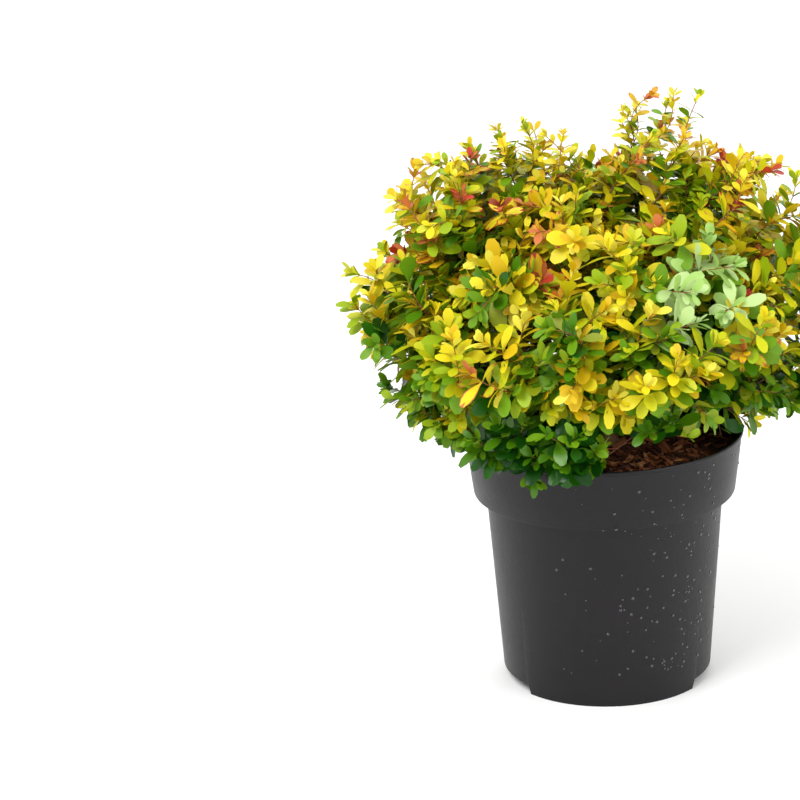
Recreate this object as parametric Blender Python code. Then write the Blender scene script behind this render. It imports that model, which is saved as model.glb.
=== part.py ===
"""A young Japanese barberry in its nursery pot, as an assembly of named solids.

Metres, +Z up. The origin is the centre of the flat disc under the pot, the front faces -Y.
The pot holds a plug of bark mulch and compost. One short stem with a flared root stands in it,
boughs fan out of its round head, and each bough ends at the inner face of its own foliage mass.
"""

import math
import random

import bmesh
import bpy
from mathutils import Matrix, Vector, noise

SEED = 11
GAP = 0.0003
WELD = 0.00001

# Pot: a 19 cm nursery pot with a stepped collar
POT_SIDES = 40
POT_HEIGHT = 0.175
RIM_RADIUS = 0.095
LIP_HEIGHT = 0.0026
LIP_PROUD = 0.0009
COLLAR_HEIGHT = 0.0425
COLLAR_FOOT_RADIUS = 0.0893
COLLAR_EDGE = 0.0012
WALL_TOP_RADIUS = 0.0808
BASE_RADIUS = 0.0711
WALL = 0.0015

# Underside: a centre disc and two foot arcs on the ground, a raised channel between them
DISC_RADIUS = 0.050
CHANNEL_HEIGHT = 0.0065
SKIRT = 0.0021
FOOT_SPAN = math.radians(104)
FOOT_TURN = math.radians(4)
NOTCH_HEIGHT = 0.0060
NOTCH_ROUND = 0.0016
NOTCH_KNEE = 0.3
NOTCH_STEPS = 7
RIB_TURNS = (-0.33, 0.0, 0.33)
RIB_WIDTH = 0.0015
RIB_CLEARANCE = 0.0006
HOLE_TURNS = (-0.165, 0.165)
HOLE_RADIUS = 0.0045
HOLE_SIDES = 12

# Mulch and compost
SOIL_EDGE_HEIGHT = 0.1600
SOIL_DOME = 0.0035
SOIL_RINGS = (0.80, 0.52, 0.26)
SOIL_BUMP = 0.0016
SOIL_BUMP_SIZE = 0.012
SOIL_BUMP_EDGE = 6

# Short stem with a flared root and a round head
STEM_FOOT = Vector((-0.0025, 0.0015, 0.1655))
HEART = Vector((0.0, 0.0, 0.1860))
FLARE_RADIUS = 0.0150
FLARE_HEIGHT = 0.0060
WAIST_RADIUS = 0.0085
HEAD_RADIUS = 0.0095
STEM_RINGS = 4
HEAD_RINGS = 5
HEAD_FLAT = 0.6

# Boughs
BOUGH_BASE_RADIUS = 0.0018
BOUGH_TIP_RADIUS = 0.0010
BOUGH_BOW = 0.0035
BOUGH_STEPS = 6

# Foliage masses, each seen from the heart of the shrub:
# azimuth and elevation in degrees (0 is +X, 90 is the back), then in metres the distance of its
# inner face, the reach of its outer face, and half its width and height
MASSES = {
    "foliage_low_left": (180, 8, 0.050, 0.142, 0.066, 0.036),
    "foliage_low_front_left": (238, 9, 0.050, 0.138, 0.066, 0.036),
    "foliage_low_front_right": (298, 12, 0.050, 0.124, 0.062, 0.030),
    "foliage_low_right": (356, 9, 0.050, 0.148, 0.066, 0.036),
    "foliage_low_back_right": (56, 8, 0.050, 0.146, 0.068, 0.036),
    "foliage_low_back_left": (118, 8, 0.050, 0.144, 0.068, 0.036),
    "foliage_left_side": (180, 32, 0.055, 0.190, 0.070, 0.054),
    "foliage_front_left": (236, 34, 0.055, 0.174, 0.074, 0.056),
    "foliage_front_right": (294, 36, 0.055, 0.166, 0.072, 0.054),
    "foliage_right_side": (354, 32, 0.055, 0.186, 0.070, 0.054),
    "foliage_back_right": (54, 34, 0.055, 0.178, 0.076, 0.056),
    "foliage_back_left": (120, 34, 0.055, 0.180, 0.076, 0.056),
    "foliage_left_shoulder": (186, 56, 0.060, 0.196, 0.062, 0.052),
    "foliage_right_crown": (352, 54, 0.060, 0.188, 0.064, 0.052),
    "foliage_front_crown": (268, 60, 0.060, 0.168, 0.066, 0.054),
    "foliage_back_crown": (88, 58, 0.060, 0.180, 0.068, 0.056),
    "foliage_left_peak": (166, 79, 0.065, 0.182, 0.054, 0.050),
    "foliage_spire": (8, 77, 0.065, 0.192, 0.040, 0.040),
}
MASS_DIVISIONS = 3
MASS_LOBES = 6
LOBE_HEIGHT = 0.20
LOBE_WIDTH = 0.42
MASS_ROUGHNESS = 0.10
ROUGHNESS_SIZE = 0.45
UNDERSIDE_RISE = math.radians(27)

# The furthest shoot tips of a mass: across (+X), back (+Y) and up from the heart
TIPS = {
    "foliage_spire": ((0.034, 0.002, 0.216), (0.066, 0.000, 0.219), (0.012, 0.006, 0.190)),
    "foliage_left_peak": ((-0.048, 0.004, 0.199), (-0.066, 0.006, 0.198)),
    "foliage_left_shoulder": ((-0.086, 0.000, 0.188), (-0.126, -0.004, 0.176)),
    "foliage_left_side": ((-0.162, -0.006, 0.120), (-0.170, 0.004, 0.094)),
    "foliage_low_left": ((-0.150, -0.010, 0.046),),
    "foliage_right_crown": ((0.080, -0.004, 0.171), (0.104, -0.006, 0.172), (0.128, 0.000, 0.168)),
    "foliage_right_side": ((0.162, -0.008, 0.122), (0.168, 0.010, 0.090)),
    "foliage_back_crown": ((0.030, 0.085, 0.146),),
    "foliage_back_left": ((-0.085, 0.135, 0.085),),
    "foliage_back_right": ((0.080, 0.130, 0.095),),
}
TIP_SPREAD = 0.38
TIP_PULL = 0.85

# The sprig that hangs over the rim at the front left, under the low front left mass
SPRIG_PARENT = "foliage_low_front_left"
SPRIG_AZIMUTH = 243
SPRIG_STANDOFF = 0.009
SPRIG_BELOW_RIM = 0.006
SPRIG_SIZES = (0.030, 0.013, 0.012)

# Colours
CHARCOAL = (0.045, 0.042, 0.045)
MULCH = (0.17, 0.075, 0.035)
BARK = (0.11, 0.06, 0.035)
LOW_LEAF = (0.05, 0.16, 0.02)
HIGH_LEAF = (0.48, 0.44, 0.03)
GOLD_RISE = 0.12
PLASTIC_ROUGHNESS = 0.55
MULCH_ROUGHNESS = 0.95
BARK_ROUGHNESS = 0.85
LEAF_ROUGHNESS = 0.6


def clear_scene():
    for thing in list(bpy.data.objects):
        bpy.data.objects.remove(thing, do_unlink=True)


def make_material(name, colour, roughness):
    """A Principled material with one colour."""
    material = bpy.data.materials.new(name)
    material.use_nodes = True
    shader = material.node_tree.nodes["Principled BSDF"]
    shader.inputs["Base Color"].default_value = (*colour, 1.0)
    shader.inputs["Roughness"].default_value = roughness
    shader.inputs["Metallic"].default_value = 0.0
    return material


def finish_mesh(name, work, material, smooth_angle=math.radians(35)):
    """The work mesh as an object in the scene, shaded smooth below the angle."""
    mesh = bpy.data.meshes.new(name)
    work.to_mesh(mesh)
    work.free()
    mesh.shade_smooth()
    mesh.set_sharp_from_angle(angle=smooth_angle)
    mesh.materials.append(material)
    made = bpy.data.objects.new(name, mesh)
    bpy.context.collection.objects.link(made)
    return made


def turned(profile):
    """A closed solid of revolution about Z, from a profile that runs from axis to axis."""
    work = bmesh.new()
    points = [work.verts.new((radius, 0.0, height)) for radius, height in profile]
    edges = [work.edges.new(pair) for pair in zip(points, points[1:])]
    bmesh.ops.spin(
        work, geom=points + edges, cent=(0, 0, 0), axis=(0, 0, 1),
        angle=math.tau, steps=POT_SIDES, use_merge=True,
    )
    bmesh.ops.remove_doubles(work, verts=work.verts, dist=WELD)
    bmesh.ops.recalc_face_normals(work, faces=work.faces)
    return work


def use_cutter(target, cutter, operation):
    """A live Boolean on the target. Its second shape is hidden."""
    cutter.hide_render = True
    cutter.display_type = "WIRE"
    boolean = target.modifiers.new(cutter.name, "BOOLEAN")
    boolean.object = cutter
    boolean.operation = operation
    boolean.solver = "EXACT"


def around(radius, turn, height):
    """A point at a radius and an angle from +X."""
    return (radius * math.cos(turn), radius * math.sin(turn), height)


def wall_radius(height):
    """Outer radius of the tapered wall below the collar."""
    share = height / (POT_HEIGHT - COLLAR_HEIGHT)
    return BASE_RADIUS + (WALL_TOP_RADIUS - BASE_RADIUS) * share


def outer_profile():
    """The pot's outside, from the centre of its underside up to the lip."""
    collar_foot = POT_HEIGHT - COLLAR_HEIGHT
    lip_foot = POT_HEIGHT - LIP_HEIGHT
    return [
        (0.0, 0.0),
        (DISC_RADIUS, 0.0),
        (DISC_RADIUS + WALL, CHANNEL_HEIGHT),
        (BASE_RADIUS - SKIRT, CHANNEL_HEIGHT),
        (BASE_RADIUS - SKIRT, 0.0),
        (BASE_RADIUS, 0.0),
        (wall_radius(CHANNEL_HEIGHT), CHANNEL_HEIGHT),
        (WALL_TOP_RADIUS, collar_foot),
        (COLLAR_FOOT_RADIUS - COLLAR_EDGE, collar_foot),
        (COLLAR_FOOT_RADIUS, collar_foot + COLLAR_EDGE),
        (RIM_RADIUS - LIP_PROUD, lip_foot),
        (RIM_RADIUS, lip_foot + LIP_PROUD),
        (RIM_RADIUS - LIP_PROUD / 2, POT_HEIGHT),
    ]


def inner_profile(clearance=0.0):
    """The pot's inside, from the centre of its floor up to the lip, moved in by the clearance."""
    step = WALL + clearance
    ledge = POT_HEIGHT - COLLAR_HEIGHT + step
    return [
        (0.0, step),
        (DISC_RADIUS - WALL - clearance, step),
        (DISC_RADIUS - clearance, CHANNEL_HEIGHT + step),
        (wall_radius(CHANNEL_HEIGHT) - step, CHANNEL_HEIGHT + step),
        (WALL_TOP_RADIUS - step, ledge),
        (COLLAR_FOOT_RADIUS - step, ledge),
        (RIM_RADIUS - LIP_PROUD - step, POT_HEIGHT),
    ]


def notch_cutter(centre):
    """A curved wedge that opens the foot skirt between two foot arcs, wider where it meets the ground."""
    half = (math.pi - FOOT_SPAN) / 2
    corner = NOTCH_ROUND / BASE_RADIUS
    side = [
        (half + corner, 0.0), (half + NOTCH_KNEE * corner, NOTCH_KNEE * NOTCH_ROUND),
        (half, NOTCH_ROUND), (half, NOTCH_HEIGHT),
    ]
    top = [(-turn, height) for turn, height in side]
    top += [(half * (2 * step / NOTCH_STEPS - 1), NOTCH_HEIGHT) for step in range(1, NOTCH_STEPS)]
    top += side[::-1]
    work = bmesh.new()
    rows = []
    for radius in (BASE_RADIUS - 2 * SKIRT, BASE_RADIUS + 2 * SKIRT):
        upper = []
        lower = []
        for index, (turn, height) in enumerate(top):
            under = (half + corner) * (2 * index / (len(top) - 1) - 1)
            upper.append(work.verts.new(around(radius, centre + turn, height)))
            lower.append(work.verts.new(around(radius, centre + under, -NOTCH_HEIGHT)))
        rows += [upper, lower]
    inner_top, inner_low, outer_top, outer_low = rows
    for first, second in ((inner_top, inner_low), (inner_low, outer_low),
                          (outer_low, outer_top), (outer_top, inner_top)):
        for index in range(len(top) - 1):
            work.faces.new((first[index], first[index + 1], second[index + 1], second[index]))
    for index in (0, -1):
        work.faces.new([row[index] for row in (inner_top, inner_low, outer_low, outer_top)])
    bmesh.ops.recalc_face_normals(work, faces=work.faces)
    return work


def build_pot():
    """Thin tapered shell with a stepped collar, a proud lip and a notched foot."""
    plastic = make_material("pot_plastic", CHARCOAL, PLASTIC_ROUGHNESS)
    shell = turned(outer_profile() + inner_profile()[::-1])
    pot = finish_mesh("pot", shell, plastic)
    ribs = bmesh.new()
    holes = bmesh.new()
    for index, centre in enumerate((FOOT_TURN, FOOT_TURN + math.pi)):
        cutter = finish_mesh(f"notch_cutter_{index}", notch_cutter(centre), plastic)
        use_cutter(pot, cutter, "DIFFERENCE")
        add_ribs(ribs, centre)
        add_holes(holes, centre)
    use_cutter(pot, finish_mesh("foot_ribs", ribs, plastic), "UNION")
    use_cutter(pot, finish_mesh("drain_holes", holes, plastic), "DIFFERENCE")
    return pot


def add_ribs(work, centre):
    """Radial ribs that stiffen the channel inside a notch."""
    inner = DISC_RADIUS
    outer = BASE_RADIUS - SKIRT - RIB_CLEARANCE
    low = RIB_CLEARANCE
    high = CHANNEL_HEIGHT + WALL / 2
    for turn in RIB_TURNS:
        place = Matrix.Rotation(centre + turn, 4, "Z") @ Matrix.Translation(
            ((inner + outer) / 2, 0.0, (low + high) / 2)
        ) @ Matrix.Diagonal((outer - inner, RIB_WIDTH, high - low, 1.0))
        bmesh.ops.create_cube(work, size=1.0, matrix=place)


def add_holes(work, centre):
    """Round drain holes through the channel's ceiling."""
    middle = (DISC_RADIUS + BASE_RADIUS - SKIRT) / 2
    for turn in HOLE_TURNS:
        place = Matrix.Rotation(centre + turn, 4, "Z") @ Matrix.Translation(
            (middle, 0.0, CHANNEL_HEIGHT + WALL / 2)
        )
        bmesh.ops.create_cone(
            work, cap_ends=True, segments=HOLE_SIDES, radius1=HOLE_RADIUS, radius2=HOLE_RADIUS,
            depth=3 * WALL, matrix=place,
        )


def soil_height(x, y):
    """Height of the mulch: a low dome with lumps."""
    share = min(1.0, math.hypot(x, y) / (COLLAR_FOOT_RADIUS - WALL))
    lump = noise.noise(Vector((x, y, 0.0)) / SOIL_BUMP_SIZE)
    dome = SOIL_DOME * (1 - share * share)
    return SOIL_EDGE_HEIGHT + dome + SOIL_BUMP * lump * (1 - share ** SOIL_BUMP_EDGE)


def build_soil():
    """The plug of compost with its lumpy top of bark mulch, a gap inside the pot."""
    inside = inner_profile(GAP)
    ledge_radius, ledge = inside[-2]
    mouth_radius, mouth = inside[-1]
    share = (SOIL_EDGE_HEIGHT - ledge) / (mouth - ledge)
    edge_radius = ledge_radius + (mouth_radius - ledge_radius) * share
    profile = inside[:-1] + [(edge_radius, SOIL_EDGE_HEIGHT)]
    profile += [(edge_radius * part, SOIL_EDGE_HEIGHT) for part in SOIL_RINGS] + [(0.0, SOIL_EDGE_HEIGHT)]
    work = turned(profile)
    for point in work.verts:
        on_top = abs(point.co.z - SOIL_EDGE_HEIGHT) < WELD
        if on_top and math.hypot(point.co.x, point.co.y) < edge_radius - WELD:
            point.co.z = soil_height(point.co.x, point.co.y)
    return finish_mesh("soil", work, make_material("bark_mulch", MULCH, MULCH_ROUGHNESS))


def make_limb(name, path, radii, sides_setting, material):
    """A tapering limb: a curve with a round bevel whose ends are closed."""
    curve = bpy.data.curves.new(name, "CURVE")
    curve.dimensions = "3D"
    curve.bevel_depth = 1.0
    curve.bevel_resolution = sides_setting
    curve.use_fill_caps = True
    spline = curve.splines.new("POLY")
    spline.points.add(len(path) - 1)
    for point, place, radius in zip(spline.points, path, radii):
        point.co = (*place, 1.0)
        point.radius = radius
    curve.materials.append(material)
    made = bpy.data.objects.new(name, curve)
    bpy.context.collection.objects.link(made)
    return made


def build_stem(bark):
    """Root flare on a level cut, a leaning waist and a round head that the boughs start from."""
    path = []
    radii = []
    rise = HEART.z - STEM_FOOT.z
    for ring in range(STEM_RINGS + 1):
        height = rise * ring / STEM_RINGS
        lean = (height / rise) ** 2
        place = STEM_FOOT.lerp(HEART, lean)
        path.append(Vector((place.x, place.y, STEM_FOOT.z + height)))
        flare = (FLARE_RADIUS - WAIST_RADIUS) * math.exp(-height / FLARE_HEIGHT)
        radii.append(max(WAIST_RADIUS + flare, HEAD_RADIUS if ring == STEM_RINGS else 0.0))
    for ring in range(1, HEAD_RINGS + 1):
        turn = math.pi / 2 * ring / (HEAD_RINGS + HEAD_FLAT)
        path.append(HEART + Vector((0.0, 0.0, HEAD_RADIUS * math.sin(turn))))
        radii.append(HEAD_RADIUS * math.cos(turn))
    return make_limb("stem", path, radii, 3, bark)


def direction(azimuth, elevation):
    """Unit vector at an azimuth and elevation in degrees."""
    turn = math.radians(azimuth)
    lift = math.radians(elevation)
    return Vector((
        math.cos(lift) * math.cos(turn), math.cos(lift) * math.sin(turn), math.sin(lift),
    ))


def build_bough(name, towards, length, bark, chance):
    """One limb from the stem's head to the inner face of its mass, bowed on the way."""
    start = HEAD_RADIUS + GAP
    side = towards.orthogonal().normalized()
    side.rotate(Matrix.Rotation(chance.uniform(0, math.tau), 3, towards))
    bow = BOUGH_BOW * chance.uniform(0.5, 1.0)
    path = []
    radii = []
    for step in range(BOUGH_STEPS + 1):
        share = step / BOUGH_STEPS
        distance = start + (length - GAP - start) * share
        path.append(HEART + towards * distance + side * bow * math.sin(math.pi * share) ** 2)
        radii.append(BOUGH_BASE_RADIUS + (BOUGH_TIP_RADIUS - BOUGH_BASE_RADIUS) * share)
    return make_limb(name, path, radii, 1, bark)


def mass_frame(towards):
    """Columns across, over and along for a mass that faces away from the heart."""
    across = Vector((0, 0, 1)).cross(towards).normalized()
    over = towards.cross(across).normalized()
    return Matrix((across, over, towards)).transposed()


def underside(azimuth):
    """The plane under a low mass: it leaves the pot's rim and rises outwards. Normal and level."""
    outward = direction(azimuth, 0)
    up = Vector((0, 0, 1))
    normal = up * math.cos(UNDERSIDE_RISE) - outward * math.sin(UNDERSIDE_RISE)
    return normal, normal.dot(outward * RIM_RADIUS + up * (POT_HEIGHT + GAP))


def mass_walls(name, directions):
    """Planes that a mass stays behind: its neighbours' sectors, its inner face and the rim."""
    towards = directions[name]
    walls = []
    for other, other_towards in directions.items():
        if other != name:
            normal = (towards - other_towards).normalized()
            walls.append((normal, normal.dot(HEART) + GAP / 2))
    azimuth, _, inner = MASSES[name][:3]
    walls.append((towards, towards.dot(HEART) + inner))
    walls.append((Vector((0, 0, 1)), POT_HEIGHT + GAP))
    walls.append(underside(azimuth))
    return walls


def clamp_to(walls, centre, offset):
    """The offset from the centre, shortened so that it ends on the right side of each wall."""
    share = 1.0
    for normal, level in walls:
        along = normal.dot(offset)
        if along < 0:
            share = min(share, (normal.dot(centre) - level) / -along)
    return offset * share


def lobed(way, lobes, key):
    """Growth of the surface in one direction: broad lobes and a little roughness."""
    growth = 1.0
    for lobe in lobes:
        growth += LOBE_HEIGHT * math.exp(-(way.angle(lobe) / LOBE_WIDTH) ** 2)
    return growth + MASS_ROUGHNESS * noise.noise(way / ROUGHNESS_SIZE + Vector((key, key, key)))


def raise_tip(work, centre, tip):
    """Pulls the surface out to a shoot tip: the nearest point goes there, those around follow."""
    reach = tip - centre
    nearest = min(work.verts, key=lambda point: (point.co - centre).angle(reach))
    for point in work.verts:
        offset = point.co - centre
        pull = TIP_PULL * math.exp(-(offset.angle(reach) / TIP_SPREAD) ** 2)
        longer = max(0.0, reach.length - offset.length)
        point.co = centre + offset * (1 + pull * longer / offset.length)
    nearest.co = tip


def shape_mass(centre, frame, sizes, walls, tips, chance):
    """An uneven closed solid: a stretched sphere with lobes and tips, cut by its walls."""
    work = bmesh.new()
    bmesh.ops.create_icosphere(work, subdivisions=MASS_DIVISIONS, radius=1.0)
    lobes = []
    for _ in range(MASS_LOBES):
        way = Vector((chance.uniform(-1, 1), chance.uniform(-1, 1), chance.uniform(0, 1)))
        lobes.append(way.normalized())
    key = chance.uniform(0, 100)
    for point in work.verts:
        way = point.co.normalized()
        stretched = Vector(size * part for size, part in zip(sizes, way))
        point.co = centre + frame @ (stretched * lobed(way, lobes, key))
    for tip in tips:
        raise_tip(work, centre, tip)
    for point in work.verts:
        point.co = centre + clamp_to(walls, centre, point.co - centre)
    return work


def leaf_material(name, height):
    """Dark green at the bottom of the crown, gold at its top."""
    share = min(1.0, max(0.0, (height - POT_HEIGHT) / GOLD_RISE))
    colour = [low + (high - low) * share for low, high in zip(LOW_LEAF, HIGH_LEAF)]
    return make_material(name, colour, LEAF_ROUGHNESS)


def build_crown(bark):
    """Every foliage mass, with the bough that carries it."""
    chance = random.Random(SEED)
    directions = {name: direction(*row[:2]) for name, row in MASSES.items()}
    for name, (_, _, inner, reach, width, height) in MASSES.items():
        towards = directions[name]
        centre = HEART + towards * (inner + reach) / 2
        sizes = (width, height, (reach - inner) / 2)
        tips = [HEART + Vector(tip) for tip in TIPS.get(name, ())]
        walls = mass_walls(name, directions)
        work = shape_mass(centre, mass_frame(towards), sizes, walls, tips, chance)
        finish_mesh(name, work, leaf_material(name, centre.z), math.pi)
        build_bough(name.replace("foliage", "bough"), towards, inner, bark, chance)


def build_sprig():
    """The sprig over the rim: against the lip, and just under the low mass that it hangs from."""
    chance = random.Random(SEED)
    outward = direction(SPRIG_AZIMUTH, 0)
    normal, level = underside(MASSES[SPRIG_PARENT][0])
    level_point = Vector((0, 0, POT_HEIGHT - SPRIG_BELOW_RIM))
    centre = outward * (RIM_RADIUS + SPRIG_STANDOFF) + level_point
    walls = [(outward, RIM_RADIUS + GAP), (-normal, GAP - level)]
    work = shape_mass(centre, mass_frame(outward), SPRIG_SIZES, walls, (), chance)
    finish_mesh("foliage_rim_sprig", work, leaf_material("foliage_rim_sprig", centre.z), math.pi)


def main():
    clear_scene()
    build_pot()
    build_soil()
    bark = make_material("bark", BARK, BARK_ROUGHNESS)
    build_stem(bark)
    build_crown(bark)
    build_sprig()


main()
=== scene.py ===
# %% [markdown]
# # A golden barberry in a nursery pot
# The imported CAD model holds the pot, the mulch, the limbs, and one closed solid for each part of
# the crown. Here a rounder pot is drawn, the mulch gets its chips, and the solids become twigs and
# leaves. Everything is in metres, with +Z up and the front facing -Y.

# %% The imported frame
import math
import random

import bmesh
import bpy
import numpy as np
from mathutils import Matrix, Vector, noise
from mathutils.bvhtree import BVHTree


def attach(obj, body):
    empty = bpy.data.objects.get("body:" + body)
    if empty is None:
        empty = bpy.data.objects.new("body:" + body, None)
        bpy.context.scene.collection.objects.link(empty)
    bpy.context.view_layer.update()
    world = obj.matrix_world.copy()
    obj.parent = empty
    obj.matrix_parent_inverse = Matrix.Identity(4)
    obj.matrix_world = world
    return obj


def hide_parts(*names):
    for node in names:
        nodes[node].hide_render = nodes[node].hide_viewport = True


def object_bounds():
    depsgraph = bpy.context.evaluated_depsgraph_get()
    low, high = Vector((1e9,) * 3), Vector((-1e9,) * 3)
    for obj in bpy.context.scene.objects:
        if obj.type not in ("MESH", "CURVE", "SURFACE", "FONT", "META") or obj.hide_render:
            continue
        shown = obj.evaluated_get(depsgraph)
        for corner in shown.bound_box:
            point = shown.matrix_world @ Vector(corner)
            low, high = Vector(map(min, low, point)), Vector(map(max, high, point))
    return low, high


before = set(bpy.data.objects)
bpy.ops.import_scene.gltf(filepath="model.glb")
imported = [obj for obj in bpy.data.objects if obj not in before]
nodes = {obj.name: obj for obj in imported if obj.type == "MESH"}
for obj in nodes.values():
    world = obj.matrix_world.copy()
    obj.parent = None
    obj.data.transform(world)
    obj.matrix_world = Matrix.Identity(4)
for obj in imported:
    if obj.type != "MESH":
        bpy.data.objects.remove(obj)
cad_box = [list(corner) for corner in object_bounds()]
bpy.ops.object.select_all(action="DESELECT")
print("CAD nodes:", len(nodes), "box:", cad_box)

# %% [markdown]
# ## Shader sums written as sums
# A material's node tree can be drawn by hand, or built by code that names every link. Arithmetic is
# easier to read than either, so this class wraps one socket: a sum on two of them adds a Math
# node, and `node` adds a node of any other kind.

# %% A socket that can be added, multiplied and mixed
class Wire:
    """One output socket of a node tree, or a plain tree when there is no socket yet."""

    def __init__(self, tree, socket=None):
        self.tree = tree
        self.socket = socket

    def node(self, kind, settings=None, inputs=None, output=0):
        """Adds a node: settings first, then the values or links of its sockets."""
        made = self.tree.nodes.new(kind)
        for name, value in (settings or {}).items():
            setattr(made, name, value)
        for name, value in (inputs or {}).items():
            if isinstance(value, Wire):
                self.tree.links.new(value.socket, made.inputs[name])
            else:
                made.inputs[name].default_value = value
        return Wire(self.tree, made.outputs[output])

    def sum(self, operation, first, second):
        """One Math node on two values."""
        return self.node("ShaderNodeMath", {"operation": operation}, {0: first, 1: second})

    def __add__(self, other):
        return self.sum("ADD", self, other)

    def __mul__(self, other):
        return self.sum("MULTIPLY", self, other)

    __radd__ = __add__
    __rmul__ = __mul__

    def between(self, first, second):
        """A colour between two colours, by this value."""
        settings = {"data_type": "RGBA"}
        return self.node("ShaderNodeMix", settings, {0: self, 6: first, 7: second}, output=2)

    def noise(self, scale, detail=3.0):
        """Cloudy values from 0 to 1 on the piece's own coordinates."""
        place = self.node("ShaderNodeTexCoord", output=3)
        sockets = {"Vector": place, "Scale": scale, "Detail": detail}
        return self.node("ShaderNodeTexNoise", inputs=sockets)


# %% Colours and plain materials
SCREEN_GAMMA = 2.2


def tint(red, green, blue):
    """A colour as a screen shows it, 0 to 255, turned into the linear values of a shader."""
    linear = [(part / 255) ** SCREEN_GAMMA for part in (red, green, blue)]
    return (*linear, 1.0)


def principled(name, colour, roughness, **constants):
    """A material with plain values. Returns it with its tree and its shader node."""
    material = bpy.data.materials.new(name)
    material.use_nodes = True
    shader = material.node_tree.nodes["Principled BSDF"]
    shader.inputs["Base Color"].default_value = colour
    shader.inputs["Roughness"].default_value = roughness
    for socket, value in constants.items():
        shader.inputs[socket.replace("_", " ")].default_value = value
    return material, Wire(material.node_tree), shader


def feed(shader, socket, wire):
    """Links a wire to one of the shader's sockets."""
    wire.tree.links.new(wire.socket, shader.inputs[socket])


def relief(wire, height, distance):
    """A Bump node over a height pattern."""
    return wire.node("ShaderNodeBump", inputs={"Height": height, "Distance": distance})


# %% [markdown]
# ## Camera, floor and light
# The photograph looks slightly down at the plant through a long lens, on a white ground with one
# soft shadow. A flat floor would show its far edge, so the floor runs up into a wall behind the
# plant, as a paper sweep in a studio does. Large lamps keep the shadows soft.

# %% Camera
CAMERA_PLACE = Vector((0.0, -1.946, 0.815))
YAW, PITCH, ROLL = -0.0706, 0.3067, -0.0388
LENS = 135.27

forward = Vector((
    math.sin(YAW) * math.cos(PITCH), math.cos(YAW) * math.cos(PITCH), -math.sin(PITCH),
))
level = Vector((math.cos(YAW), -math.sin(YAW), 0.0))
above = level.cross(forward)
right = level * math.cos(ROLL) + above * math.sin(ROLL)
top = above * math.cos(ROLL) - level * math.sin(ROLL)
bpy.ops.object.camera_add(location=CAMERA_PLACE)
camera = bpy.context.object
camera.matrix_world = Matrix.Translation(CAMERA_PLACE) @ Matrix(
    (right, top, -forward)
).transposed().to_4x4()
camera.data.lens = LENS
camera.data.sensor_width = 36.0
bpy.context.scene.camera = camera
print("camera at", tuple(CAMERA_PLACE), "lens", LENS)

# %% Paper sweep
SWEEP_SIZE = 6.0
SWEEP_HEIGHT = 4.0
SWEEP_BEND = 1.2
BEND_SEGMENTS = 12

bpy.ops.mesh.primitive_plane_add(size=SWEEP_SIZE, location=(0, 0, 0))
sweep = bpy.context.object
sweep.name = "paper_sweep"
bpy.ops.object.mode_set(mode="EDIT")
work = bmesh.from_edit_mesh(sweep.data)
bpy.ops.mesh.select_all(action="DESELECT")
for edge in work.edges:
    edge.select = all(point.co.y > 0 for point in edge.verts)
bmesh.update_edit_mesh(sweep.data)
bpy.ops.mesh.extrude_edges_move(TRANSFORM_OT_translate={"value": (0, 0, SWEEP_HEIGHT)})
bpy.ops.object.mode_set(mode="OBJECT")
bend = sweep.modifiers.new("bend", "BEVEL")
bend.width = SWEEP_BEND
bend.segments = BEND_SEGMENTS
bpy.ops.object.modifier_apply(modifier="bend")
bpy.ops.object.shade_smooth()
sweep.data.materials.append(principled("white_paper", tint(250, 250, 250), 0.9)[0])
print("sweep:", len(sweep.data.polygons), "faces")

# %% Soft light
CROWN_MIDDLE = Vector((0, 0, 0.25))
ROOM_GLOW = 0.80


def soft_light(name, place, size, watts):
    """A square area light that looks at the middle of the crown."""
    bpy.ops.object.light_add(type="AREA", location=place)
    lamp = bpy.context.object
    lamp.name = name
    lamp.data.size = size
    lamp.data.energy = watts
    lamp.rotation_euler = (CROWN_MIDDLE - Vector(place)).to_track_quat("-Z", "Y").to_euler()


soft_light("key_softbox", (-0.9, -1.1, 1.9), 1.1, 34.0)
soft_light("fill_softbox", (1.6, -1.0, 1.0), 1.3, 14.0)
soft_light("back_softbox", (0.4, 1.6, 1.8), 1.4, 16.0)
world = bpy.data.worlds.new("white_room")
bpy.context.scene.world = world
world.use_nodes = True
world.node_tree.nodes["Background"].inputs["Color"].default_value = (1, 1, 1, 1)
world.node_tree.nodes["Background"].inputs["Strength"].default_value = ROOM_GLOW
bpy.context.scene.view_settings.view_transform = "Standard"
print("three softboxes and a room at", ROOM_GLOW)

# %% [markdown]
# ## The pot
# A nursery pot is thin moulded plastic, with a stepped collar to hold it by and a foot that is
# notched to let water out. The CAD pot shows its flat sides, so a rounder one is drawn to the same
# sizes, without the ribs and drain holes underneath. It could be spun from a profile or cut with
# Booleans. Here one ring is extruded and scaled along the outside, over the lip and down the
# inside, which keeps the skin in neat quads. Lifting the foot's lowest points makes the notches.

# %% Helper: select by place
def pick(piece, test):
    """Selects the points of the mesh in edit mode that pass a test on their place."""
    bpy.ops.mesh.select_all(action="DESELECT")
    mesh = bmesh.from_edit_mesh(piece.data)
    for point in mesh.verts:
        point.select = test(point.co)
    mesh.select_flush_mode()
    bmesh.update_edit_mesh(piece.data)


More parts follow.
